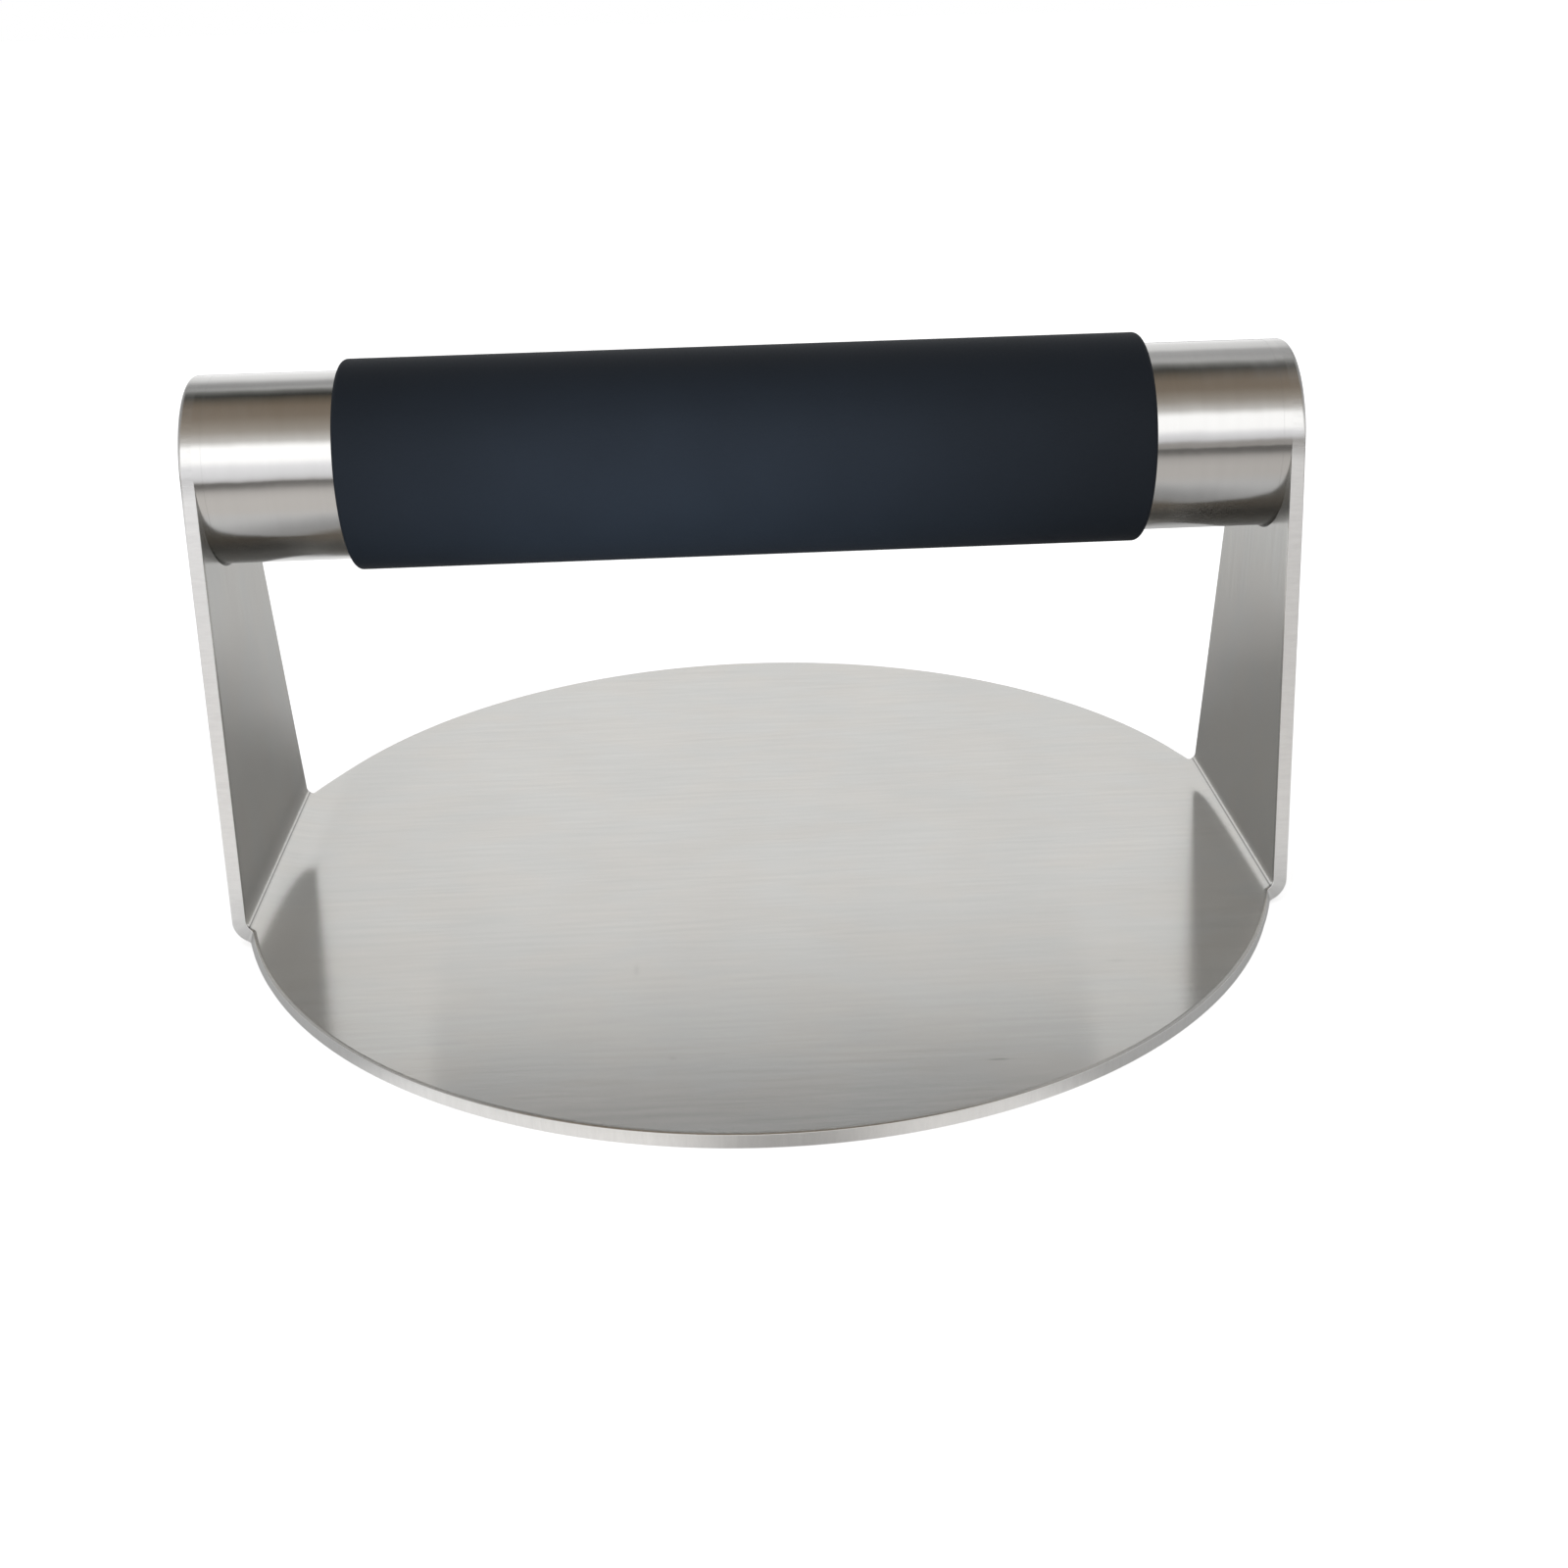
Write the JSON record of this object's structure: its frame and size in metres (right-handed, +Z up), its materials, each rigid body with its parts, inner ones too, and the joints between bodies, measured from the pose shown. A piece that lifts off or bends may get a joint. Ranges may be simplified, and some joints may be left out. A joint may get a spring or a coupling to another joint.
{
  "type": "patty press",
  "caption": "Hand press for shaping patties: a round flat plate with upturned side ears that carry a tubular handle in a soft sleeve.",
  "frame": {"origin": "centre of the plate's underside, on the pressing face", "axes": "+X along the handle, +Y across it, +Z up from the pressing face towards the handle"},
  "size_m": [0.148, 0.15, 0.0762],
  "materials": {
    "plate_steel": "stainless sheet with a fine straight brushed grain along the handle's direction",
    "tube_steel": "stainless tube, nearly polished, with a faint grain around its girth",
    "weld_steel": "weld metal ground flush and satin",
    "grip_rubber": "matte black silicone rubber, smooth, very slightly blue"
  },
  "bodies": {
    "root": {"press_plate": "plate_steel", "handle_tube": "tube_steel", "left_weld": "weld_steel", "right_weld": "weld_steel", "grip_sleeve": "grip_rubber"}
  },
  "joints": []
}
